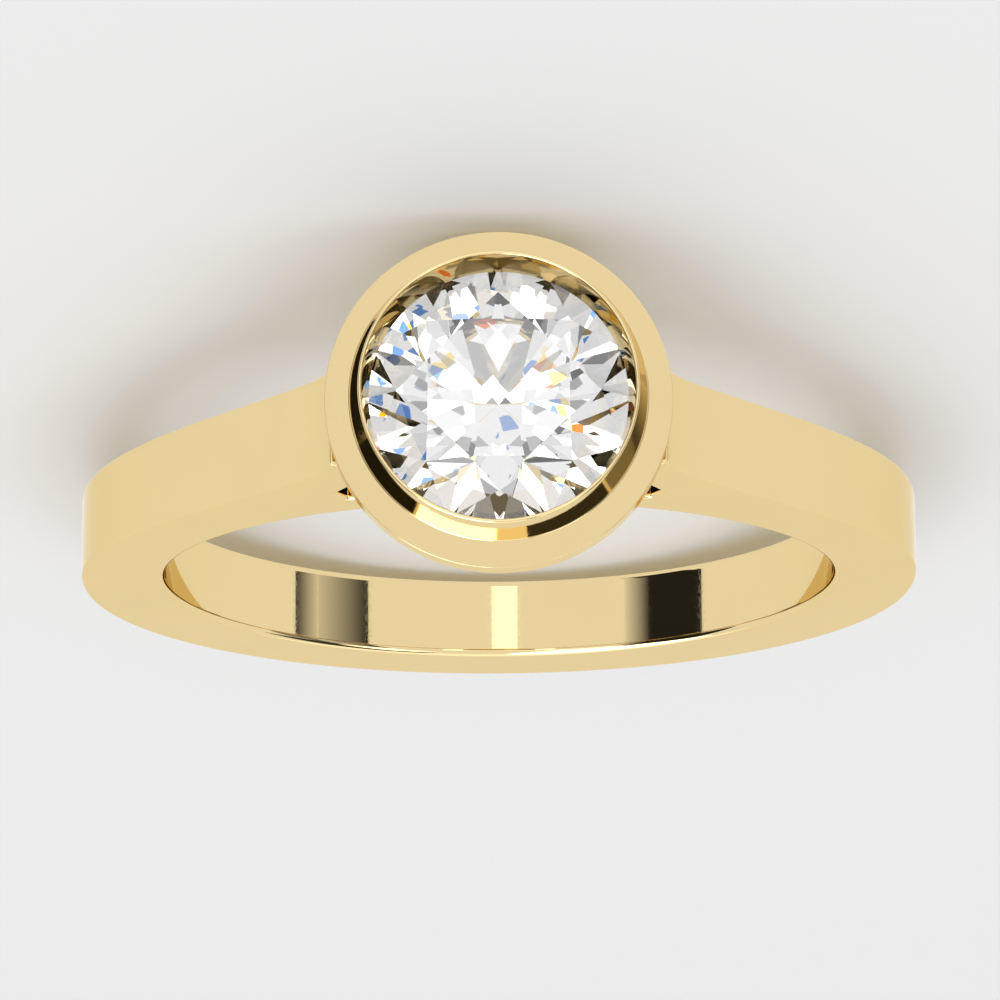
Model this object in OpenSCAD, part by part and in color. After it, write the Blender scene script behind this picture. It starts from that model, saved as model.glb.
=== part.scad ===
// Bezel set ring: a gold band with rising shoulders and a round stone in a raised collar.
// The ring is drawn upright, stone up, with the finger along Y and the finger's centre at the
// origin. It is then laid on its side, where it rests on the flange and on the palm side.
// Heights in the sections below are measured from the top of the finger opening.

/* [Finger] */
// Inside diameter of the band
finger_d = 18.1; // [16:0.1:20]

/* [Band] */
// Thickness of the band at its two sides
side_thick = 2.26; // [2:0.02:2.5]
// Extra thickness on the palm side, as a drop of the outer circle
palm_drop = 0.26; // [0.02:0.02:0.4]
// Width of the band on the palm side
band_w = 2.24; // [1.9:0.02:2.6]
// Widening of the band for each millimetre above the finger's centre
flare = 0.02; // [0.002:0.002:0.03]
// Bevel along both edges of the finger opening
bore_bevel = 0.15; // [0.05:0.01:0.2]

/* [Shoulders] */
// Slope of a shoulder's straight part, in degrees from level
shoulder_slope = 49; // [47:0.5:51]
// How far the straight part stands outside the band's own outer circle
shoulder_rise = 0.12; // [0.06:0.01:0.2]
// Angle above level where the shoulder leaves the band's outer circle
shoulder_start = 32; // [28:0.5:33]
// Height of the straight part's upper end
sweep_height = 2.2; // [1.9:0.05:2.4]
// Radius of the hollow sweep from there up to the head
sweep_r = 5.2; // [4.8:0.1:6]
// Height of a shoulder's flat top
shoulder_height = 3.95; // [3.8:0.05:4.2]

/* [Window] */
// Thickness of the rail that passes under the head
rail_thick = 1.15; // [1.1:0.01:1.2]
// Distance of the window's outer corner from the middle
window_x = 4.12; // [3.95:0.01:4.2]
// Height of the window's outer corner
window_height = 0.97; // [0.9:0.01:1.05]
// Distance from the middle where the rail's top meets the window's lower side
window_foot_x = 3.8; // [3.5:0.01:3.85]
// Distance from the middle where the arch runs into the cup
arch_x = 2.75; // [2.65:0.01:2.8]
// Height where the arch runs into the cup
arch_height = 3.55; // [3.45:0.01:3.6]

/* [Head] */
// Diameter of the flange
flange_d = 8.46; // [8.3:0.01:8.7]
// Height of the flange's lower edge
flange_height = 4.9; // [4.8:0.01:5]
// Thickness of the flange at its edge
flange_thick = 0.59; // [0.45:0.01:0.65]
// Rise of the flange's top towards the collar
rim_rise = 0.25; // [0.15:0.01:0.3]
// Diameter of the collar's foot
collar_d = 7.23; // [7.18:0.01:7.4]
// Diameter along the middle of the collar's crest
crest_d = 6.7; // [6.66:0.01:6.76]
// Height of the collar's crest
crest_height = 6.66; // [6.6:0.01:6.75]
// Radius of the cup's foot
cup_foot_r = 1.9; // [1.8:0.01:2]
// Height of the cup's underside
cup_height = 0.8; // [0.7:0.01:0.85]
// Radius of the floor inside the cup
hollow_r = 1.05; // [0.9:0.01:1.1]

/* [Stone] */
// Diameter of the stone
stone_d = 6.5; // [6.48:0.01:6.52]
// Height of the girdle's upper edge
girdle_height = 5.55; // [5.54:0.01:5.56]
// Thickness of the girdle
girdle_thick = 0.16; // [0.12:0.01:0.2]
// Width of the table, as a share of the diameter
table_share = 0.57; // [0.53:0.01:0.6]
// Slope of the main crown facets, in degrees
crown_deg = 34.5; // [33:0.25:35]
// Slope of the main pavilion facets, in degrees
pavilion_deg = 40.75; // [40.5:0.25:41.25]
// Length of the star facets, as a share of the crown's width
star_share = 0.5; // [0.45:0.01:0.55]
// Length of the lower girdle facets, as a share of the radius
lower_share = 0.77; // [0.7:0.01:0.82]

/* [Hidden] */

// Room past whatever is cut, segments of a full circle, and steps along an arc of an outline
clear = 1;
round_fn = 180;
arc_steps = 10;

bore_r = finger_d / 2;
outer_r = bore_r + side_thick;
palm_z = -(palm_drop + outer_r);
half_w = band_w / 2;

// Points along an arc round the centre c, from angle a to angle b
function arc(c, r, a, b, steps = arc_steps) =
    [for (i = [0 : steps]) let (t = a + (b - a) * i / steps) c + r * [cos(t), sin(t)]];

// An outline's mirror image in the upright middle line, in the opposite order
function mirrored(line) =
    [for (i = [len(line) - 1 : -1 : 0]) [-line[i][0], line[i][1]]];

// Outline of the shoulders. Each leaves the band's outer circle on a blend that touches both that
// circle and the straight part, and ends in a hollow sweep and a flat top under the flange.
band_c = [0, -palm_drop];
line_r = outer_r + shoulder_rise;
line_deg = 90 - shoulder_slope;
line_dir = [cos(line_deg), sin(line_deg)];
blend_turn = line_deg - shoulder_start;
blend_r = (line_r - outer_r * cos(blend_turn)) / (1 - cos(blend_turn));
blend_c = band_c - (blend_r - outer_r) * [cos(shoulder_start), sin(shoulder_start)];
sweep_z = bore_r + sweep_height;
sweep_x = (line_r + (band_c - [0, sweep_z]) * line_dir) / line_dir[0];
sweep_c = [sweep_x, sweep_z] + sweep_r * line_dir;
shoulder_top = bore_r + shoulder_height;
sweep_end = 180 + asin((sweep_c[1] - shoulder_top) / sweep_r);
shoulder_half = concat(
    arc(blend_c, blend_r, shoulder_start, line_deg),
    arc(sweep_c, sweep_r, 180 + line_deg, sweep_end)
);
shoulder_line = concat(shoulder_half, mirrored(shoulder_half));

// Outline of the opening under the head. The cup fills its middle and leaves a window each side.
rail_r = bore_r + rail_thick;
foot_deg = acos(window_foot_x / rail_r);
window_side = [
    [window_x, bore_r + window_height],
    [arch_x, bore_r + arch_height],
    [arch_x, shoulder_top + clear]
];
window_line = concat(
    arc([0, 0], rail_r, 180 - foot_deg, foot_deg, 2 * arc_steps),
    window_side,
    mirrored(window_side)
);

// Lathe outline of the head: flange, collar, lip over the stone, seat, hollow, foot and cup wall
edge_r = 0.07;
edge_steps = 3;
crest_round = 0.05;
hollow_floor = 0.1;
stone_gap = 0.05;
lip_over = 0.1;
seat_w = 0.2;
seat_drop = 0.18;
cup_wall = 0.45;
cup_foot_h = 0.45;
flange_r = flange_d / 2;
flange_z = bore_r + flange_height;
flange_top = flange_z + flange_thick;
collar_r = collar_d / 2;
collar_z = flange_top + rim_rise;
crest_r = crest_d / 2;
crest_z = bore_r + crest_height;
stone_r = stone_d / 2;
girdle_z = bore_r + girdle_height;
seat_z = girdle_z - girdle_thick - stone_gap;
hollow_z = rail_r + hollow_floor;
cup_z = bore_r + cup_height;

// The collar's outer face, a quarter of an ellipse from its foot to its crest
function collar_face(t) = [
    crest_r + (collar_r - crest_r) * cos(90 * t),
    collar_z + (crest_z - collar_z) * sin(90 * t)
];

head_line = concat(
    [[flange_r - cup_wall, flange_z - edge_r], [flange_r - edge_r, flange_z]],
    arc([flange_r - edge_r, flange_z + edge_r], edge_r, -60, 0, edge_steps),
    arc([flange_r - edge_r, flange_top - edge_r], edge_r, 0, 70, edge_steps),
    [for (i = [0 : arc_steps]) collar_face(i / arc_steps)],
    arc([crest_r, crest_z - crest_round], crest_round, 110, 180, edge_steps),
    [
        [stone_r - lip_over, girdle_z + lip_over * tan(crown_deg) + stone_gap],
        [stone_r + stone_gap, girdle_z + stone_gap],
        [stone_r + stone_gap, seat_z],
        [stone_r - seat_w, seat_z - seat_drop],
        [hollow_r, hollow_z],
        [0, hollow_z],
        [0, cup_z],
        [cup_foot_r, cup_z],
        [cup_foot_r, cup_z + cup_foot_h]
    ]
);

// The ring lies with the flange's lower edge and the palm side of the band on the floor
rest_z = flange_z + edge_r;
tilt = atan((flange_r - half_w) / (rest_z - palm_z));
lift = flange_r * cos(tilt) - rest_z * sin(tilt);
crest_reach = norm([(collar_r - crest_r) * sin(tilt), (crest_z - collar_z) * cos(tilt)]);
front_y = -(crest_r * sin(tilt) + collar_z * cos(tilt) + crest_reach);
back_y = half_w * sin(tilt) - palm_z * cos(tilt);

// Points of the stone, with the girdle's upper edge at height 0. Crown and pavilion each have
// eight main facets. The table's edges and the star facets lie halfway between the main ones, and
// the girdle's edges dip in the middle of each of the sixteen facets that meet it.
facet_n = 8;
step_n = 4;
girdle_n = 2 * facet_n * step_n;
facet_deg = 360 / facet_n;
half_turn = facet_deg / 2;
girdle_in = stone_r * cos(half_turn / 2);
table_r = stone_r * table_share;
table_in = table_r * cos(half_turn);
table_h = (stone_r - table_r) * tan(crown_deg);
star_r = table_in + star_share * (stone_r - table_in);
star_h = (stone_r - star_r * cos(half_turn)) * tan(crown_deg);
upper_slope = star_h / (girdle_in - star_r * cos(half_turn / 2));
lower_r = stone_r * (1 - lower_share);
lower_h = (stone_r - lower_r * cos(half_turn)) * tan(pavilion_deg);
lower_slope = lower_h / (girdle_in - lower_r * cos(half_turn / 2));

function turned(r, a, z) = [r * cos(a), r * sin(a), z];
function girdle_deg(i) = i * 360 / girdle_n;
function dip(i) = stone_r * cos((i % step_n / step_n - 0.5) * half_turn) - girdle_in;

stone_points = concat(
    [for (i = [0 : facet_n - 1]) turned(table_r, facet_deg * i + half_turn, table_h)],
    [for (i = [0 : facet_n - 1]) turned(star_r, facet_deg * i, star_h)],
    [for (i = [0 : facet_n - 1]) turned(lower_r, facet_deg * i, -girdle_thick - lower_h)],
    [for (i = [0 : girdle_n - 1]) turned(stone_r, girdle_deg(i), -dip(i) * upper_slope)],
    [for (i = [0 : girdle_n - 1])
        turned(stone_r, girdle_deg(i), dip(i) * lower_slope - girdle_thick)],
    [[0, 0, -girdle_thick - stone_r * tan(pavilion_deg)]]
);

// Places in that list: corners of the table, tips of the star facets and of the lower girdle
// facets, upper and lower edge of the girdle, and the point at the bottom
function table_at(i) = (i + facet_n) % facet_n;
function star_at(i) = facet_n + i % facet_n;
function tip_at(i) = 2 * facet_n + i % facet_n;
function upper_at(i) = 3 * facet_n + (i + girdle_n) % girdle_n;
function lower_at(i) = girdle_n + upper_at(i);
point_at = 3 * facet_n + 2 * girdle_n;

stone_faces = concat(
    [[for (i = [facet_n - 1 : -1 : 0]) table_at(i)]],
    [for (i = [0 : facet_n - 1]) [table_at(i - 1), table_at(i), star_at(i)]],
    [for (i = [0 : facet_n - 1]) let (k = (2 * i + 1) * step_n)
        [table_at(i), star_at(i + 1), upper_at(k), star_at(i)]],
    [for (i = [0 : facet_n - 1], k = [2 * i * step_n, (2 * i - 1) * step_n])
        concat([star_at(i)], [for (j = [step_n : -1 : 0]) upper_at(k + j)])],
    [for (i = [0 : girdle_n - 1]) [upper_at(i), upper_at(i + 1), lower_at(i + 1), lower_at(i)]],
    [for (i = [0 : facet_n - 1], k = [2 * i * step_n, (2 * i - 1) * step_n])
        concat([tip_at(i)], [for (j = [0 : step_n]) lower_at(k + j)])],
    [for (i = [0 : facet_n - 1]) let (k = (2 * i + 1) * step_n)
        [point_at, tip_at(i), lower_at(k), tip_at(i + 1)]]
);

// Extrudes an outline drawn in X and Z along the finger, past both sides of the band
module along_finger() {
    rotate([90, 0, 0])
        linear_extrude(height = band_w + 2 * clear, center = true)
            children();
}

// The band's width: parallel below the finger's centre, a little flared above it
module width_slab() {
    low = palm_z - clear;
    high = shoulder_top + clear;
    side = [[half_w, low], [half_w, 0], [half_w + high * flare / 2, high]];
    rotate([90, 0, 90])
        linear_extrude(height = 2 * (outer_r + clear), center = true)
            polygon(concat(side, mirrored(side)));
}

module finger_opening() {
    rotate([90, 0, 0])
        cylinder(h = band_w + 4 * clear, r = bore_r, center = true, $fn = round_fn);
    for (side = [-90, 90])
        rotate([side, 0, 0])
            translate([0, 0, half_w - bore_bevel - clear])
                cylinder(h = 2 * clear, r1 = bore_r - clear, r2 = bore_r + clear, $fn = round_fn);
}

module band() {
    difference() {
        intersection() {
            union() {
                translate([0, 0, -palm_drop])
                    rotate([90, 0, 0])
                        cylinder(h = band_w + 2 * clear, r = outer_r, center = true, $fn = round_fn);
                along_finger()
                    polygon(shoulder_line);
            }
            width_slab();
        }
        finger_opening();
        along_finger()
            polygon(window_line);
    }
}

module head() {
    rotate_extrude($fn = round_fn)
        polygon(head_line);
}

// Lays the upright ring on its side, with the stone towards -Y and the finger nearly upright
module laid_down() {
    translate([0, -(front_y + back_y) / 2, lift])
        rotate([90 - tilt, 0, 0])
            children();
}

module gold_ring() {
    color([0.9, 0.76, 0.45])
        laid_down()
            union() {
                band();
                head();
            }
}

module round_stone() {
    color([0.92, 0.95, 1, 0.6])
        laid_down()
            translate([0, 0, girdle_z])
                polyhedron(stone_points, stone_faces);
}

gold_ring();
round_stone();
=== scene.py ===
# %% [markdown]
# # Bezel set ring, rebuilt as a picture model
#
# The object is a gold finger ring that lies on its side on a pale table. A round brilliant cut
# stone sits in a raised polished collar on a flat round flange, and two shoulders rise from the
# band to carry it.
#
# The shapes are worked out in the ring's own upright frame, in millimetres: x across, y along the
# finger, z from the finger's centre to the stone. One function then lays every point down.

import math

import bpy
import numpy as np
from mathutils import Matrix, Vector
from mathutils.geometry import tessellate_polygon


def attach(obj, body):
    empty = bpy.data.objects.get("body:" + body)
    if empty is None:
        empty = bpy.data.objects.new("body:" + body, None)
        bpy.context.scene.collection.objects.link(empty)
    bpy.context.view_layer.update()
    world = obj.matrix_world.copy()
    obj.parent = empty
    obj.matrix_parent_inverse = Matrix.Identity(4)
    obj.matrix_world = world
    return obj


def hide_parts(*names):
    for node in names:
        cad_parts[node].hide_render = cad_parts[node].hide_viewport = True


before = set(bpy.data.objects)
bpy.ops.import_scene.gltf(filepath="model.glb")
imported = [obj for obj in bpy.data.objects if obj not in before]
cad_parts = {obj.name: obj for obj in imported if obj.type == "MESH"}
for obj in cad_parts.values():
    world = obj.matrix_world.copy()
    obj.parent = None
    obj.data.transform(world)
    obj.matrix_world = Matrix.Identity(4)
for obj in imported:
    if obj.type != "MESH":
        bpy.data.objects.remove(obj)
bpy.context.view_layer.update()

# %% [markdown]
# ## Sizes
#
# A goldsmith thinks of this ring in heights above the finger and in diameters. They are written
# that way here, and everything else follows from them. The ring touches the table with the
# flange's lower edge and with the palm side of the band, which gives its tilt.

# %% Sizes, in millimetres and degrees
MM = 0.001
BORE_R = 9.05
OUTER_R = 11.31
PALM_DROP = 0.26
BAND_W = 2.24
FLARE = 0.02
SHOULDER_START = 32.0
SHOULDER_SLOPE = 49.0
SHOULDER_RISE = 0.12
SWEEP_Z = BORE_R + 2.2
SWEEP_R = 5.2
SHOULDER_TOP = BORE_R + 3.95
RAIL_R = BORE_R + 1.15
WINDOW = (4.12, BORE_R + 0.97)
WINDOW_FOOT_X = 3.8
ARCH = (2.75, BORE_R + 3.55)

FLANGE_R = 4.23
FLANGE_Z = BORE_R + 4.9
FLANGE_TOP = FLANGE_Z + 0.59
COLLAR_R = 3.615
COLLAR_Z = FLANGE_TOP + 0.25
CREST_R = 3.35
CREST_Z = BORE_R + 6.66
CREST_ROUND = 0.05
CREST_TURN = 170.0
WALL_LEAN = 14.0
CUP_FOOT_R = 1.9
CUP_Z = BORE_R + 0.8
CUP_STEP = 0.45
HOLLOW_R = 1.05
HOLLOW_Z = RAIL_R + 0.1

STONE_R = 3.25
STONE_GAP = 0.05
LIP_OVER = 0.1
SEAT_W = 0.2
SEAT_DROP = 0.18
GIRDLE_Z = BORE_R + 5.55
GIRDLE_H = 0.16
TABLE_SHARE = 0.57
CROWN_DEG = 34.5
PAVILION_DEG = 40.75
STAR_SHARE = 0.5
LOWER_SHARE = 0.77

# Roundings that only show close up
EDGE_R = 0.07
RIM_EDGE = 0.01
SIDE_EDGE = 0.12
BORE_EDGE = 0.2
TOP_CORNER = 0.04
WINDOW_CORNER = 0.08
COLLAR_FOOT = 0.03

# Where the ring touches the table and how far it reaches. Its front is taken from the solid, whose
# collar has a quarter of an ellipse for its wall
REST_Z = FLANGE_Z + EDGE_R
TILT = math.atan((FLANGE_R - BAND_W / 2) / (REST_Z + PALM_DROP + OUTER_R))
LIFT = FLANGE_R * math.cos(TILT) - REST_Z * math.sin(TILT)
CREST_REACH = math.hypot((COLLAR_R - CREST_R) * math.sin(TILT),
                         (CREST_Z - COLLAR_Z) * math.cos(TILT))
FRONT_Y = -(CREST_R * math.sin(TILT) + COLLAR_Z * math.cos(TILT) + CREST_REACH)
BACK_Y = BAND_W / 2 * math.sin(TILT) + (PALM_DROP + OUTER_R) * math.cos(TILT)
MIDDLE_Y = (FRONT_Y + BACK_Y) / 2


def turned(n):
    """Directions of the upright ring, turned as the ring is laid: a quarter turn less the tilt."""
    x, y, z = np.moveaxis(np.asarray(n, float), -1, 0)
    s, c = math.sin(TILT), math.cos(TILT)
    return np.stack([x, y * s - z * c, y * c + z * s], -1)


def laid(p):
    """Points of the upright ring, in millimetres, laid on the table, in metres."""
    return (turned(p) + [0, -MIDDLE_Y, LIFT]) * MM


print("tilt", round(math.degrees(TILT), 3), "lift", round(LIFT, 4), "middle", round(MIDDLE_Y, 4))

# %% [markdown]
# ## Camera
#
# The ring is seen from about 21 degrees above the table, straight at the stone. The picture is
# turned upside down, so that the stone is at its top and the palm side of the band at its foot.
# The camera could be aimed with a constraint, but three turns and a distance say the same and
# never depend on another object: up from the table, round the ring, and round the line of sight.

# %% Camera
CAMERA_AIM = Vector((-0.04, 1.32, 1.6))
CAMERA_REACH = 130.0
CAMERA_RISE = 21.37
CAMERA_SIDE = 0.11
CAMERA_ROLL = 179.6
CAMERA_LENS = 172.8

cam_data = bpy.data.cameras.new("camera")
cam_data.lens = CAMERA_LENS
cam_data.sensor_width = 36.0
cam_data.clip_start = 0.01
cam_data.clip_end = 10.0
camera = bpy.data.objects.new("camera", cam_data)
bpy.context.scene.collection.objects.link(camera)
bpy.context.scene.camera = camera
aimed = (Matrix.Rotation(math.radians(CAMERA_SIDE), 4, "Z")
         @ Matrix.Rotation(math.radians(90 - CAMERA_RISE), 4, "X")
         @ Matrix.Rotation(math.radians(CAMERA_ROLL), 4, "Z"))
back = aimed.to_3x3() @ Vector((0, 0, 1))
camera.matrix_world = Matrix.Translation((CAMERA_AIM + CAMERA_REACH * back) * MM) @ aimed
print("camera at", [round(v, 1) for v in CAMERA_AIM + CAMERA_REACH * back], "mm")

# %% [markdown]
# ## Outlines
#
# Both gold pieces start as an outline: the band's is carried across its width, the head's is
# turned in a lathe. A real edge is never perfectly sharp, and the thin bright line along it is
# what makes metal look like metal. A Bevel modifier could round the edges, but rounding the
# outline itself keeps each radius exact.

# %% Outline helpers


def arc(centre, radius, start, end, n):
    """n points on a circle, from angle start to angle end in degrees."""
    t = np.radians(np.linspace(start, end, n))
    return np.asarray(centre, float) + radius * np.stack([np.cos(t), np.sin(t)], -1)


def soften(line, corner, reach, n=9):
    """Rounds one corner of an open outline.

    What lies within reach of the corner is left out, and a curve (1-s)^2 a + 2 s (1-s) c + s^2 b
    takes its place, where a and b are the ends that were left and c is the corner.
    """
    line = np.asarray(line, float)
    c = np.asarray(corner, float)
    far = np.hypot(*(line - c).T)
    at = int(np.argmin(far))
    before = line[:at][far[:at] > reach]
    after = line[at + 1:][far[at + 1:] > reach]
    a = c + (before[-1] - c) * reach / np.hypot(*(before[-1] - c))
    b = c + (after[0] - c) * reach / np.hypot(*(after[0] - c))
    s = np.linspace(0, 1, n)[:, None]
    return np.concatenate([before, (1 - s) ** 2 * a + 2 * s * (1 - s) * c + s ** 2 * b, after])


def side_normals(line, closed):
    """Unit normals on the right hand side of an outline, from the neighbours of each point."""
    ahead = np.roll(line, -1, 0)
    behind = np.roll(line, 1, 0)
    if not closed:
        ahead[-1] = line[-1]
        behind[0] = line[0]
    d = ahead - behind
    d /= np.hypot(d[:, 0], d[:, 1])[:, None]
    return np.stack([d[:, 1], -d[:, 0]], -1)


def grid_faces(rows, cols, start=0, wrap_rows=False, wrap_cols=False):
    """Four-cornered faces of a grid of points whose numbers run along each row."""
    i = np.arange(rows if wrap_rows else rows - 1)[:, None]
    j = np.arange(cols if wrap_cols else cols - 1)[None, :]
    i2, j2 = (i + 1) % rows, (j + 1) % cols
    quads = np.stack(np.broadcast_arrays(i * cols + j, i * cols + j2, i2 * cols + j2, i2 * cols + j), -1)
    return quads.reshape(-1, 4) + start


def facing(faces, points, toward):
    """Faces whose corners run counter-clockwise as seen from the side toward, one for each face."""
    a, b, c = (points[faces[:, k]] for k in range(3))
    flip = np.einsum("ij,ij->i", np.cross(b - a, c - a), np.broadcast_to(toward, a.shape)) < 0
    return np.where(flip[:, None], faces[:, ::-1], faces)


def make_piece(name, points, faces, normals, node, material):
    """One finished piece at the origin, with exact normals at its points where they are given."""
    mesh = bpy.data.meshes.new(name)
    mesh.from_pydata(points.tolist(), [], faces)
    mesh.update()
    if normals is not None:
        mesh.polygons.foreach_set("use_smooth", np.ones(len(mesh.polygons), bool))
        mesh.normals_split_custom_set_from_vertices(normals.tolist())
    mesh.materials.append(material)
    piece = bpy.data.objects.new(name, mesh)
    bpy.context.scene.collection.objects.link(piece)
    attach(piece, "root")
    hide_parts(node)
    print(name, len(mesh.vertices), "points", len(mesh.polygons), "faces")


# %% [markdown]
# ## Polished gold
#
# Jeweller's gold is a mirror with a warm tint. What tells it from a computer's mirror is the
# polish: hairlines far thinner than a hair, left by the last cloth, and a sheen that is a little
# uneven over a few tenths of a millimetre. An image texture could hold that, but it would need a
# flat map of a curved ring. Noise on the piece's own coordinates needs none, and it stays put
# when the ring is turned.
#
# The effect is a group of nodes with named inputs, so that any metal can use it with its own
# values. It gives a roughness, a height and a tone, and the shader itself stays outside.

# %% Node helpers


def math_node(tree, operation, *values):
    """One arithmetic node. A value is a number or another node's output."""
    node = tree.nodes.new("ShaderNodeMath")
    node.operation = operation
    for socket, value in zip(node.inputs, values):
        if isinstance(value, (int, float)):
            socket.default_value = value
        else:
            tree.links.new(value, socket)
    return node.outputs[0]


def rise_node(tree, value, low, high):
    """0 below low, 1 above high, and a soft rise between them."""
    node = tree.nodes.new("ShaderNodeMapRange")
    node.interpolation_type = "SMOOTHSTEP"
    tree.links.new(value, node.inputs["Value"])
    node.inputs["From Min"].default_value = low
    node.inputs["From Max"].default_value = high
    return node.outputs["Result"]


def noise_node(tree, place, turn, scale, detail):
    """Noise on the piece's own coordinates, stretched by scale, in cycles for each metre."""
    mapping = tree.nodes.new("ShaderNodeMapping")
    mapping.inputs["Rotation"].default_value = turn
    mapping.inputs["Scale"].default_value = scale
    tree.links.new(place, mapping.inputs["Vector"])
    noise = tree.nodes.new("ShaderNodeTexNoise")
    noise.inputs["Scale"].default_value = 1.0
    noise.inputs["Detail"].default_value = detail
    tree.links.new(mapping.outputs["Vector"], noise.inputs["Vector"])
    return noise.outputs["Fac"]


# %% Hand polish, as a node group
# Each noise's turn in radians, cycles for each metre along its three axes, and detail
HAIR_ALONG = ((0.4, 0.3, 0.5), (90000, 4000, 9000), 2.0)
HAIR_ACROSS = ((1.9, 1.3, 2.5), (5000, 80000, 12000), 2.0)
CLOUD = ((0, 0, 0), (420, 420, 420), 3.0)
# The noise at which a hairline starts, and at which it is full
HAIR_RISE = (0.56, 0.76)
SMOOTHEST = 0.01


def polish_group():
    """Hand polish: hairlines h in two directions and a soft cloud c, both from noise.

    Roughness = Roughness + Hairlines * h + Cloud * c, Height = h, Tone = 1 + Shade * c.
    """
    tree = bpy.data.node_groups.new("hand_polish", "ShaderNodeTree")
    for label in ("Roughness", "Hairlines", "Cloud", "Shade"):
        tree.interface.new_socket(label, in_out="INPUT", socket_type="NodeSocketFloat")
    for label in ("Roughness", "Height", "Tone"):
        tree.interface.new_socket(label, in_out="OUTPUT", socket_type="NodeSocketFloat")
    given = tree.nodes.new("NodeGroupInput").outputs
    result = tree.nodes.new("NodeGroupOutput").inputs
    place = tree.nodes.new("ShaderNodeTexCoord").outputs["Object"]
    lines = [rise_node(tree, noise_node(tree, place, *grain), *HAIR_RISE)
             for grain in (HAIR_ALONG, HAIR_ACROSS)]
    hair = math_node(tree, "MAXIMUM", *lines)
    cloud = math_node(tree, "SUBTRACT", noise_node(tree, place, *CLOUD), 0.5)
    rough = math_node(tree, "MULTIPLY_ADD", hair, given["Hairlines"], given["Roughness"])
    rough = math_node(tree, "MULTIPLY_ADD", cloud, given["Cloud"], rough)
    tree.links.new(math_node(tree, "MAXIMUM", rough, SMOOTHEST), result["Roughness"])
    tree.links.new(hair, result["Height"])
    tree.links.new(math_node(tree, "MULTIPLY_ADD", cloud, given["Shade"], 1.0), result["Tone"])
    return tree


HAND_POLISH = polish_group()
YELLOW_GOLD = (0.81, 0.64, 0.34)
GRAZING_TINT = (0.9, 0.83, 0.65, 1)
CLOUD_ROUGHNESS = 0.02
CLOUD_SHADE = 0.06
LINE_DEPTH = 0.001


def gold_material(name, tint, roughness, hairlines, bump):
    """A polished metal of one tint, with the hand polish in its roughness, tone and normal.

    Seen at a grazing angle a plain metal shader turns white. Gold keeps its colour there, which
    the tint at the edge does.
    """
    material = bpy.data.materials.new(name)
    material.use_nodes = True
    tree = material.node_tree
    shader = tree.nodes["Principled BSDF"]
    shader.inputs["Metallic"].default_value = 1.0
    shader.inputs["Specular Tint"].default_value = GRAZING_TINT
    polish = tree.nodes.new("ShaderNodeGroup")
    polish.node_tree = HAND_POLISH
    polish.inputs["Roughness"].default_value = roughness
    polish.inputs["Hairlines"].default_value = hairlines
    polish.inputs["Cloud"].default_value = CLOUD_ROUGHNESS
    polish.inputs["Shade"].default_value = CLOUD_SHADE
    tree.links.new(polish.outputs["Roughness"], shader.inputs["Roughness"])
    tone = tree.nodes.new("ShaderNodeVectorMath")
    tone.operation = "SCALE"
    tone.inputs[0].default_value = tint
    tree.links.new(polish.outputs["Tone"], tone.inputs["Scale"])
    tree.links.new(tone.outputs[0], shader.inputs["Base Color"])
    lines = tree.nodes.new("ShaderNodeBump")
    lines.inputs["Strength"].default_value = bump
    lines.inputs["Distance"].default_value = LINE_DEPTH * MM
    tree.links.new(polish.outputs["Height"], lines.inputs["Height"])
    tree.links.new(lines.outputs["Normal"], shader.inputs["Normal"])
    return material


gold = gold_material("polished_gold", YELLOW_GOLD, roughness=0.03, hairlines=0.04, bump=0.08)
print("materials", gold.name)

# %% [markdown]
# ## The clear stone
#
# A brilliant is clear glass of a very high index: what looks like a pattern in it is the light of
# the room, sent back by the facets underneath. So the facets have to be real ones, and the
# material can be plain glass.
#
# A real stone also parts white light into colours, its fire. One glass shader has a single index
# and can't do that. Three tinted shaders with three indices could, but an exported model can't
# carry them. Here the fire is painted instead: a few small patches of the surface have a strong
# tint, painted coloured glints. It doesn't show on the surface that the eye looks at, only where
# light comes in from the room, so that each painted flash of colour takes the outline of a facet,
# as fire does.

# %% Fire, as a node group
# Patches for each metre, and the chance value at which a patch starts to have a colour
PATCH_SCALE = 2600.0
FIRE_RISE = (0.91, 0.93)
# Where each colour starts, on a scale from 0 to 1, and the colour
FIRE_COLOURS = (
    (0.0, (1.0, 0.03, 0.0, 1)),
    (0.4, (1.0, 0.5, 0.02, 1)),
    (0.78, (0.02, 0.1, 0.5, 1)),
)


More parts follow.
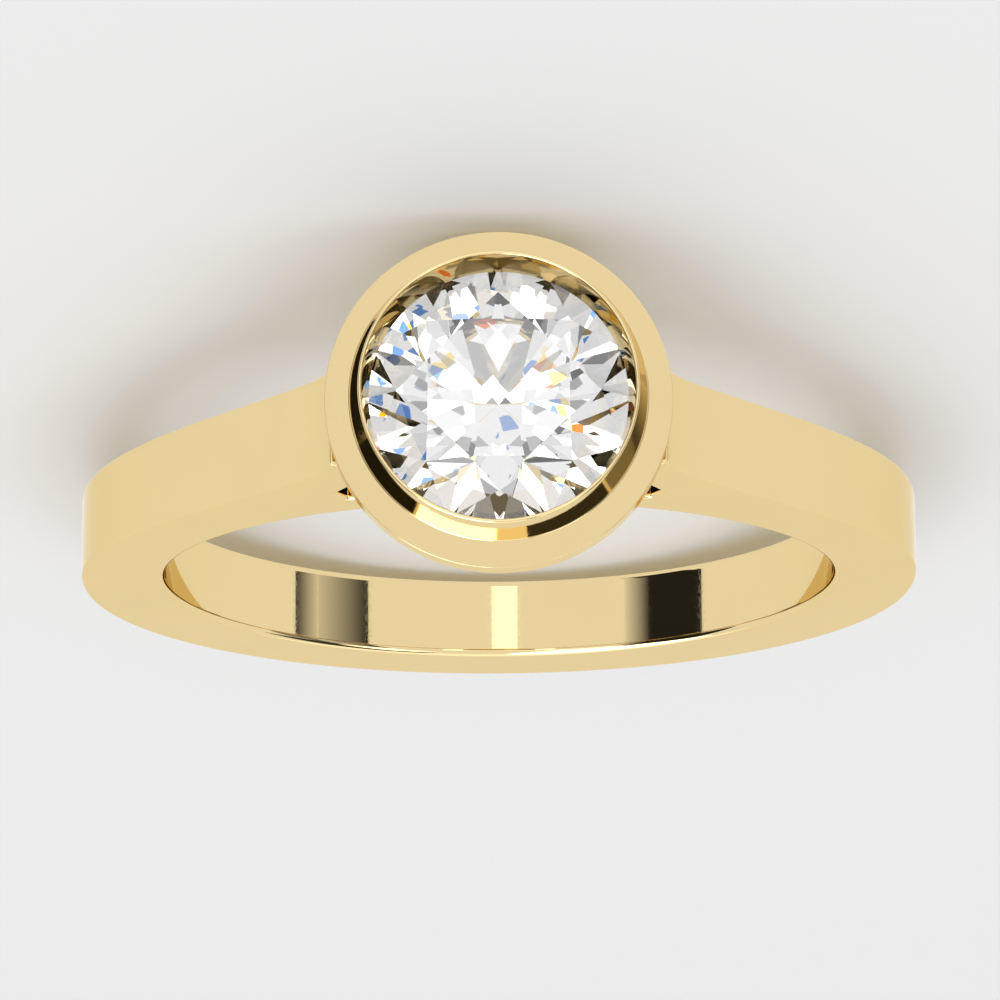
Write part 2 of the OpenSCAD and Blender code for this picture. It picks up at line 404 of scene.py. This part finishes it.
def fire_group():
    """Painted fire: each Voronoi patch keeps white, and one in a few takes a painted colour, by
    Strength.
    """
    tree = bpy.data.node_groups.new("stone_fire", "ShaderNodeTree")
    tree.interface.new_socket("Strength", in_out="INPUT", socket_type="NodeSocketFloat")
    tree.interface.new_socket("Color", in_out="OUTPUT", socket_type="NodeSocketColor")
    given = tree.nodes.new("NodeGroupInput").outputs
    result = tree.nodes.new("NodeGroupOutput").inputs
    patch = tree.nodes.new("ShaderNodeTexVoronoi")
    patch.inputs["Scale"].default_value = PATCH_SCALE
    tree.links.new(tree.nodes.new("ShaderNodeTexCoord").outputs["Object"], patch.inputs["Vector"])
    chance = tree.nodes.new("ShaderNodeSeparateColor")
    tree.links.new(patch.outputs["Color"], chance.inputs["Color"])
    hue = tree.nodes.new("ShaderNodeValToRGB")
    hue.color_ramp.interpolation = "CONSTANT"
    while len(hue.color_ramp.elements) < len(FIRE_COLOURS):
        hue.color_ramp.elements.new(0.5)
    for element, (start, colour) in zip(hue.color_ramp.elements, FIRE_COLOURS):
        element.position = start
        element.color = colour
    tree.links.new(chance.outputs["Green"], hue.inputs["Fac"])
    chosen = rise_node(tree, chance.outputs["Red"], *FIRE_RISE)
    tint = tree.nodes.new("ShaderNodeMix")
    tint.data_type = "RGBA"
    tree.links.new(math_node(tree, "MULTIPLY", chosen, given["Strength"]), tint.inputs["Factor"])
    tint.inputs["A"].default_value = (1, 1, 1, 1)
    tree.links.new(hue.outputs["Color"], tint.inputs["B"])
    tree.links.new(tint.outputs["Result"], result["Color"])
    return tree


def stone_material(name, index, strength):
    """Clear cut stone: smooth glass of a high index, white where the eye meets it, else with painted
    fire.
    """
    material = bpy.data.materials.new(name)
    material.use_nodes = True
    tree = material.node_tree
    shader = tree.nodes["Principled BSDF"]
    shader.inputs["Transmission Weight"].default_value = 1.0
    shader.inputs["Roughness"].default_value = 0.0
    shader.inputs["IOR"].default_value = index
    fire = tree.nodes.new("ShaderNodeGroup")
    fire.node_tree = fire_group()
    fire.inputs["Strength"].default_value = strength
    seen = tree.nodes.new("ShaderNodeMix")
    seen.data_type = "RGBA"
    tree.links.new(tree.nodes.new("ShaderNodeLightPath").outputs["Is Camera Ray"], seen.inputs["Factor"])
    tree.links.new(fire.outputs["Color"], seen.inputs["A"])
    seen.inputs["B"].default_value = (1, 1, 1, 1)
    tree.links.new(seen.outputs["Result"], shader.inputs["Base Color"])
    return material


clear = stone_material("clear_stone", index=2.417, strength=1.0)
print("materials", clear.name)

# %% [markdown]
# ## The band and its shoulders
#
# On the real ring the band is one bar of gold bent round, with its two shoulders filed to a
# straight slope and a hollow sweep, and a small window under the head on each side. Sculpting
# could find that shape by eye. An outline from circles and lines is surer: each arc touches the
# next, as a file leaves it.

# %% The band's outline
band_c = np.array([0.0, -PALM_DROP])
line_r = OUTER_R + SHOULDER_RISE
line_deg = 90.0 - SHOULDER_SLOPE


def way(deg):
    """The direction at an angle in degrees."""
    return np.array([math.cos(math.radians(deg)), math.sin(math.radians(deg))])


blend_cos = math.cos(math.radians(line_deg - SHOULDER_START))
blend_r = (line_r - OUTER_R * blend_cos) / (1 - blend_cos)
blend_c = band_c - (blend_r - OUTER_R) * way(SHOULDER_START)
sweep_x = (line_r + (band_c - np.array([0, SWEEP_Z])) @ way(line_deg)) / way(line_deg)[0]
sweep_c = np.array([sweep_x, SWEEP_Z]) + SWEEP_R * way(line_deg)
sweep_end = 180 + math.degrees(math.asin((sweep_c[1] - SHOULDER_TOP) / SWEEP_R))
top_corner = sweep_c + SWEEP_R * way(sweep_end)
foot_deg = math.degrees(math.acos(WINDOW_FOOT_X / RAIL_R))
window_foot = RAIL_R * way(foot_deg)

half = np.concatenate([
    arc(band_c, OUTER_R, -90, SHOULDER_START, 160)[:-1],
    arc(blend_c, blend_r, SHOULDER_START, line_deg, 24),
    arc(sweep_c, SWEEP_R, 180 + line_deg, sweep_end, 60),
    [[ARCH[0], SHOULDER_TOP], ARCH, WINDOW],
    arc((0, 0), RAIL_R, foot_deg, 90, 60),
])
for corner, reach in ((top_corner, TOP_CORNER), (WINDOW, WINDOW_CORNER), (window_foot, WINDOW_CORNER)):
    half = soften(half, corner, reach)
outer = np.concatenate([half, (half * [-1, 1])[::-1][1:-1]])
bore = arc((0, 0), BORE_R, 90, -270, 361)[:-1]
print("outline", len(outer), "points, shoulder's top corner at", top_corner.round(3))

# %% The band's walls


def half_width(z):
    """Half the band's width at height z: parallel below the finger's centre, flared above it."""
    return BAND_W / 2 + FLARE / 2 * np.maximum(z, 0)


def wall(line, r, steps=10):
    """A wall along a closed outline, from one side of the band to the other.

    Across the band a row runs over both rounded edges: with the outline's normal n, edge radius
    r and half width h, the points are p + r (cos a - 1) n and y = +-(h - r) + r sin a.
    """
    n = side_normals(line, True)
    a = np.linspace(0, np.pi / 2, steps)
    side = np.repeat([-1.0, 1.0], steps)[None, :]
    a = np.concatenate([-a[::-1], a])[None, :]
    y = side * (half_width(line[:, 1])[:, None] - r) + r * np.sin(a)
    p = line[:, None, :] + (r * (np.cos(a) - 1))[..., None] * n[:, None, :]
    points = np.stack([p[..., 0], y, p[..., 1]], -1)
    c, s = np.cos(a), np.broadcast_to(np.sin(a), y.shape)
    return points, np.stack([n[:, :1] * c, s, n[:, 1:] * c], -1)


wall_p, wall_n = wall(outer, SIDE_EDGE)
bore_p, bore_n = wall(bore, BORE_EDGE)
rows_a, cols = wall_p.shape[:2]
rows_b = len(bore_p)
points = np.concatenate([wall_p.reshape(-1, 3), bore_p.reshape(-1, 3)])
normals = np.concatenate([wall_n.reshape(-1, 3), bore_n.reshape(-1, 3)])

# %% The band's flat sides


def side_face(column):
    """Triangles between the outer outline and the finger opening, on one side of the band."""
    loops = [wall_p[:, column][:, [0, 2]], bore_p[:, column][:, [0, 2]]]
    numbers = np.arange(rows_a + rows_b) * cols + column
    corners = [[Vector((x, z, 0)) for x, z in loop.tolist()] for loop in loops]
    return numbers[np.array(tessellate_polygon(corners))]


quads = np.concatenate([
    grid_faces(rows_a, cols, 0, wrap_rows=True),
    grid_faces(rows_b, cols, rows_a * cols, wrap_rows=True),
])
band_faces = facing(quads, points, normals[quads].mean(1)).tolist()
for column, toward in ((cols - 1, (0, 1, 0)), (0, (0, -1, 0))):
    band_faces += facing(side_face(column), points, np.array(toward, float)).tolist()
make_piece("ring_band", laid(points), band_faces, turned(normals), "gold_ring", gold)

# %% [markdown]
# ## The head
#
# The cup, flange and collar are round, so a goldsmith turns them in a lathe, and so does this
# cell: one outline, turned round the stone's axis. The collar's wall leans in to a thin rounded
# crest, and its lip leans over the stone's edge. All of the wall mirrors the flange's top, which
# mirrors one part of the room, so that the wall shows broad bands and not many thin lines.

# %% The head, turned from one outline
crest = arc((CREST_R, CREST_Z - CREST_ROUND), CREST_ROUND, WALL_LEAN, CREST_TURN, 18)
lip_z = GIRDLE_Z + LIP_OVER * math.tan(math.radians(CROWN_DEG)) + STONE_GAP
seat_z = GIRDLE_Z - GIRDLE_H - STONE_GAP
cup_rim_r = FLANGE_R - CUP_STEP
head = np.concatenate([
    [[0, CUP_Z], [CUP_FOOT_R, CUP_Z], [CUP_FOOT_R, CUP_Z + CUP_STEP],
     [cup_rim_r, FLANGE_Z - EDGE_R], [cup_rim_r, FLANGE_Z],
     [FLANGE_R, FLANGE_Z], [FLANGE_R, FLANGE_TOP], [COLLAR_R, COLLAR_Z]],
    crest,
    [[STONE_R - LIP_OVER, lip_z],
     [STONE_R + STONE_GAP, GIRDLE_Z + STONE_GAP], [STONE_R + STONE_GAP, seat_z],
     [STONE_R - SEAT_W, seat_z - SEAT_DROP], [HOLLOW_R, HOLLOW_Z], [0, HOLLOW_Z]],
])
for corner, reach in (
    ((CUP_FOOT_R, CUP_Z), SIDE_EDGE),
    ((CUP_FOOT_R, CUP_Z + CUP_STEP), SIDE_EDGE),
    ((FLANGE_R, FLANGE_Z), EDGE_R),
    ((FLANGE_R, FLANGE_TOP), RIM_EDGE),
    ((COLLAR_R, COLLAR_Z), COLLAR_FOOT),
):
    head = soften(head, corner, reach)


def turn_in_lathe(line, turns):
    """Points, normals and faces of an outline turned round the upright axis.

    A point (r, z) becomes (r cos a, r sin a, z). The outline's first and last points lie on the
    axis, and each closes its end with a fan of triangles.
    """
    n = side_normals(line, False)
    a = np.arange(turns) * 2 * np.pi / turns
    ca, sa = np.cos(a)[None, :], np.sin(a)[None, :]
    grids = []
    for q in (line, n):
        r, z = q[1:-1, :1], q[1:-1, 1:]
        grids.append(np.stack(np.broadcast_arrays(r * ca, r * sa, z + 0 * ca), -1).reshape(-1, 3))
    p = np.concatenate([grids[0], [[0, 0, line[0, 1]], [0, 0, line[-1, 1]]]])
    normal = np.concatenate([grids[1], [[0, 0, -1], [0, 0, 1]]])
    rows = len(line) - 2
    k = np.arange(turns)
    after = (k + 1) % turns
    fans = [
        np.stack([np.full(turns, rows * turns + end), row * turns + k, row * turns + after], -1)
        for end, row in ((0, 0), (1, rows - 1))
    ]
    faces = []
    for part in (grid_faces(rows, turns, 0, wrap_cols=True), *fans):
        faces += facing(part, p, normal[part].mean(1)).tolist()
    return p, faces, normal


points, head_faces, normals = turn_in_lathe(head, turns=256)
make_piece("ring_head", laid(points), head_faces, turned(normals), "gold_ring", gold)

# %% [markdown]
# ## The stone
#
# A round brilliant has a table, eight star, eight main and sixteen upper facets above its edge,
# and sixteen lower and eight main facets below it. Every facet is flat, so no normals are
# smoothed. The heights come from the crown's and the pavilion's slopes, as a cutter sets them.

# %% Heights and reaches of the facets
half_turn = math.radians(22.5)
girdle_in = STONE_R * math.cos(half_turn / 2)
table_r = STONE_R * TABLE_SHARE
table_in = table_r * math.cos(half_turn)
crown_tan, pav_tan = math.tan(math.radians(CROWN_DEG)), math.tan(math.radians(PAVILION_DEG))
table_h = (STONE_R - table_r) * crown_tan
star_r = table_in + STAR_SHARE * (STONE_R - table_in)
star_h = (STONE_R - star_r * math.cos(half_turn)) * crown_tan
upper_slope = star_h / (girdle_in - star_r * math.cos(half_turn / 2))
lower_r = STONE_R * (1 - LOWER_SHARE)
lower_h = (STONE_R - lower_r * math.cos(half_turn)) * pav_tan
lower_slope = lower_h / (girdle_in - lower_r * math.cos(half_turn / 2))
print("table", round(2 * table_r, 2), "mm wide,", round(table_h, 2), "mm above the girdle")

# %% The facets
STEP = 8
G = 16 * STEP


def ring(r, deg, z):
    """Points at radius r, angles deg and height z."""
    a = np.radians(deg)
    return np.stack(np.broadcast_arrays(r * np.cos(a), r * np.sin(a), np.asarray(z, float)), -1)


eight = np.arange(8) * 45.0
girdle_deg = np.arange(G) * 360.0 / G
dip = STONE_R * np.cos((np.arange(G) % STEP / STEP - 0.5) * half_turn) - girdle_in
stone_points = np.concatenate([
    ring(table_r, eight + 22.5, table_h),
    ring(star_r, eight, star_h),
    ring(lower_r, eight, -GIRDLE_H - lower_h),
    ring(STONE_R, girdle_deg, -dip * upper_slope),
    ring(STONE_R, girdle_deg, dip * lower_slope - GIRDLE_H),
    [[0, 0, -GIRDLE_H - STONE_R * pav_tan]],
]) + [0, 0, GIRDLE_Z]
star, tip, high, low, culet = 8, 16, 24, 24 + G, 24 + 2 * G
stone_faces = [list(range(8))]
for i in range(8):
    j = (i + 1) % 8
    mid = ((2 * i + 1) * STEP) % G
    stone_faces.append([star + i, i, (i - 1) % 8])
    stone_faces.append([star + i, high + mid, star + j, i])
    stone_faces.append([tip + j, low + mid, tip + i, culet])
    for side in (2 * i * STEP, (2 * i - 1) * STEP):
        stone_faces.append([star + i] + [high + (side + k) % G for k in range(STEP + 1)])
        stone_faces.append([tip + i] + [low + (side + k) % G for k in range(STEP, -1, -1)])
stone_faces += [[low + i, low + (i + 1) % G, high + (i + 1) % G, high + i] for i in range(G)]
make_piece("cut_stone", laid(stone_points), stone_faces, None, "round_stone", clear)

# %% [markdown]
# ## Table and studio
#
# Polished gold and a cut stone show nothing but their surroundings, so the studio is part of the
# finish. It is a plain one: a pale table, even light from all round, soft boxes overhead and
# beside the camera, and dark boards between them. The boards give the gold its dark lines and
# the facets their contrast, and three of them fade from one end to the other, so that a dark
# line ends softly. Lamps could do the lighting, but a lit board has a clean edge, and its
# brightness is one number or two. The camera doesn't see the boards.
#
# The gold doesn't mirror the table, which would fill half of every reflection with one pale
# tone. The boards reach below the table's height instead, and give the inside of the band its
# dark bars.

# %% Table
TABLE_HALF = 3.0
SQUARE = ((-1, -1), (1, -1), (1, 1), (-1, 1))
table_mesh = bpy.data.meshes.new("table_top")
table_mesh.from_pydata([(x * TABLE_HALF, y * TABLE_HALF, 0) for x, y in SQUARE], [], [(0, 1, 2, 3)])
table_mat = bpy.data.materials.new("pale_table")
table_mat.use_nodes = True
table_shader = table_mat.node_tree.nodes["Principled BSDF"]
table_shader.inputs["Base Color"].default_value = (0.66, 0.66, 0.66, 1)
table_shader.inputs["Roughness"].default_value = 0.85
table_mesh.materials.append(table_mat)
table_top = bpy.data.objects.new("table_top", table_mesh)
bpy.context.scene.collection.objects.link(table_top)
table_top.visible_glossy = False

# %% Even light from all round
WORLD_LIGHT = 1.0
world = bpy.data.worlds.new("studio")
bpy.context.scene.world = world
world.use_nodes = True
world.node_tree.nodes["Background"].inputs["Color"].default_value = (1, 1, 1, 1)
world.node_tree.nodes["Background"].inputs["Strength"].default_value = WORLD_LIGHT
bpy.context.scene.view_settings.view_transform = "Standard"

# %% Soft boxes and dark boards
FAR, FRONT = 0.6, 0.55
HEAD_MIDDLE = laid([0, 0, COLLAR_Z])
# Name, distance from the head in metres, angle round the head from the camera towards the
# picture's left, angle above the table, width and height as angles, and brightness at the end
# with the smaller angle and at the other end
BOARDS = (
    ("box_overhead", FAR, 175, 66, 50, 50, 1.4, 1.4),
    ("box_left", FAR, 40, 50, 24, 24, 2.6, 2.6),
    ("box_right", FAR, -66, 56, 24, 24, 2.6, 2.6),
    ("box_front", FAR, 0, 17, 40, 26, 2.0, 2.0),
    ("box_below", FAR, 2, -10, 9, 24, 1.8, 1.8),
    ("board_camera", FRONT, 0, 17, 26, 14, 0.35, 0.35),
    ("board_left", FAR, 66, 10, 24, 60, 0.02, 0.02),
    ("fade_left", FRONT, 51, 10, 10, 60, 0.85, 0.02),
    ("board_low_left", FAR, 63, -30, 22, 22, 0.02, 0.02),
    ("board_high_left", FAR, 84, 26, 22, 40, 0.02, 0.02),
    ("box_high_left", FAR, 98, 68, 34, 40, 6.0, 6.0),
    ("fade_right_far", FAR, -73, 10, 10, 60, 0.02, 0.75),
    ("fade_right", FAR, -58, 10, 21, 60, 0.7, 0.01),
    ("board_right", FAR, -84, 12, 12, 36, 0.3, 0.3),
    ("board_high_right", FAR, -92, 54, 30, 44, 0.05, 0.05),
)
# The table is lit by the boxes that are brighter than the world, but not by one as bright as
# this, which is only a highlight in the gold and the stone
HIGHLIGHT = 3.0


def studio_board(name, reach, side_deg, rise_deg, width_deg, height_deg, start, end):
    """A flat board square to the head, reach away from it: its half width is reach tan(width / 2).

    Its brightness runs evenly across it: start + (end - start) u, with u from 0 to 1.
    """
    a, e = math.radians(side_deg), math.radians(rise_deg)
    toward = np.array([math.sin(a) * math.cos(e), -math.cos(a) * math.cos(e), math.sin(e)])
    across = np.array([math.cos(a), math.sin(a), 0]) * math.tan(math.radians(width_deg / 2))
    upward = np.array([-math.sin(a) * math.sin(e), math.cos(a) * math.sin(e), math.cos(e)])
    upward *= math.tan(math.radians(height_deg / 2))
    corners = np.array([toward + u * across + v * upward for u, v in SQUARE])
    mesh = bpy.data.meshes.new(name)
    mesh.from_pydata((HEAD_MIDDLE + corners * reach).tolist(), [], [(0, 1, 2, 3)])
    mesh.uv_layers.new(name="across").uv.foreach_set("vector", [0, 0, 1, 0, 1, 1, 0, 1])
    material = bpy.data.materials.new(name)
    material.use_nodes = True
    tree = material.node_tree
    tree.nodes.remove(tree.nodes["Principled BSDF"])
    glow = tree.nodes.new("ShaderNodeEmission")
    tree.links.new(glow.outputs[0], tree.nodes["Material Output"].inputs["Surface"])
    place = tree.nodes.new("ShaderNodeSeparateXYZ")
    tree.links.new(tree.nodes.new("ShaderNodeTexCoord").outputs["UV"], place.inputs[0])
    strength = math_node(tree, "MULTIPLY_ADD", place.outputs["X"], end - start, start)
    tree.links.new(strength, glow.inputs["Strength"])
    mesh.materials.append(material)
    board = bpy.data.objects.new(name, mesh)
    bpy.context.scene.collection.objects.link(board)
    board.visible_camera = False
    board.visible_shadow = False
    board.visible_diffuse = WORLD_LIGHT < start < HIGHLIGHT


for row in BOARDS:
    studio_board(*row)
print(len(BOARDS), "boards round the head at", HEAD_MIDDLE.round(4))
